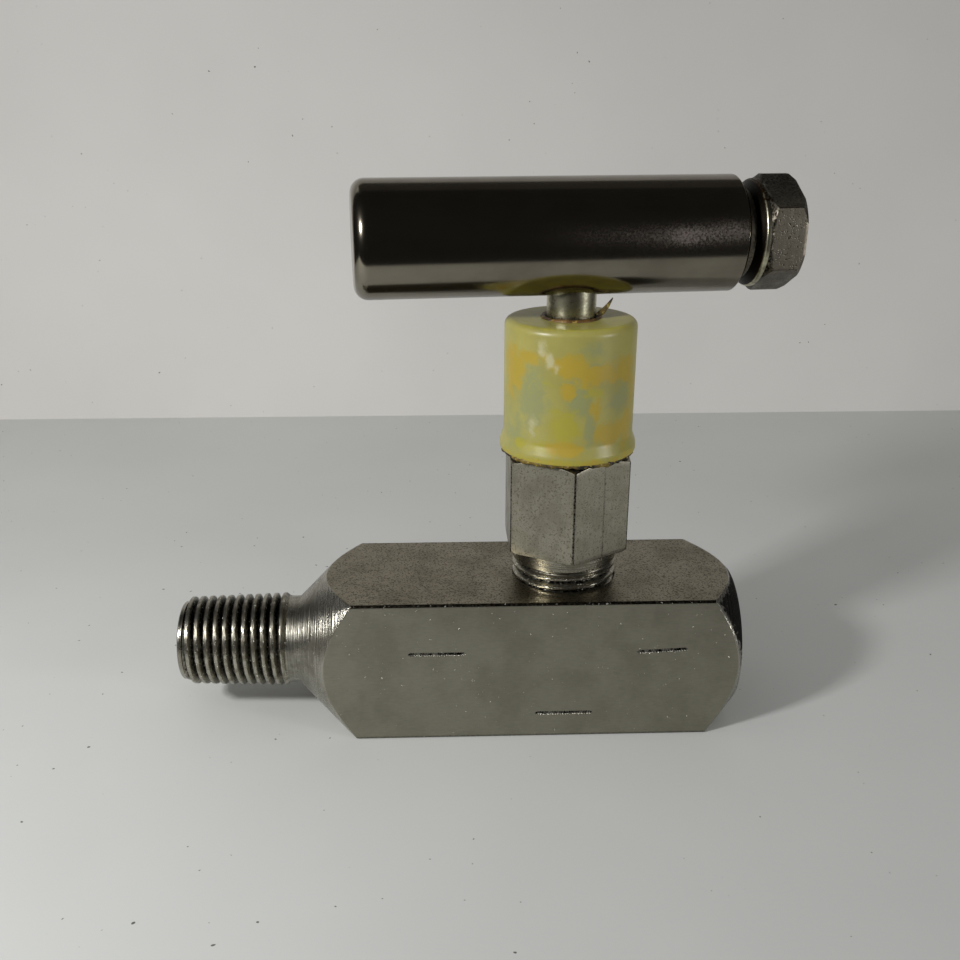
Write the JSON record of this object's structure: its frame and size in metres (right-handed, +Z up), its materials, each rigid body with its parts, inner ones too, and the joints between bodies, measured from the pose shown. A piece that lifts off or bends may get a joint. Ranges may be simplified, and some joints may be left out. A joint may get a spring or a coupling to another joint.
{
  "type": "needle valve",
  "caption": "Bar-stock needle valve: square body with male and female pipe ends, hexagon bonnet under a plastic dust cap, and a round T-handle on a rising screw stem.",
  "frame": {"origin": "on the underside of the body, on the stem axis", "axes": "+X along the flow axis towards the female outlet, +Z up the stem; valve drawn closed"},
  "size_m": [0.089, 0.0222, 0.0801],
  "materials": {
    "body_steel": "satin, machine-marked",
    "bonnet_steel": "satin, worn",
    "stem_steel": "ground",
    "handle_steel": "polished",
    "bolt_steel": "milled, darkened",
    "seat_steel": "ground",
    "cap_plastic": "aged, translucent",
    "gasket_copper": "soft, pressed",
    "backup_ptfe": "waxy",
    "o_ring_rubber": "smooth"
  },
  "bodies": {
    "valve": {"body": "body_steel", "seat_ring": "seat_steel", "bonnet_gasket": "gasket_copper", "bonnet": "bonnet_steel", "lower_backup_ring": "backup_ptfe", "stem_o_ring": "o_ring_rubber", "upper_backup_ring": "backup_ptfe", "dust_cap": "cap_plastic"},
    "needle": {"needle_tip": "seat_steel"},
    "handle": {"stem": "stem_steel", "tip_retaining_ring": "stem_steel", "handle_bar": "handle_steel", "handle_bolt": "bolt_steel"}
  },
  "joints": [
    {"name": "stem_lift", "type": "slide", "parent": "valve", "child": "needle", "axis": [0, 0, 1], "range_m": [0, 0.00397]},
    {"name": "handle_turn", "type": "hinge", "parent": "needle", "child": "handle", "pos_m": [0, 0, 0.0425], "axis": [0, 0, 1], "range_deg": [0, 1350]}
  ],
  "couplings": [
    {"joint": "stem_lift", "follows": "handle_turn", "m_per_rad": 0.00016843}
  ]
}
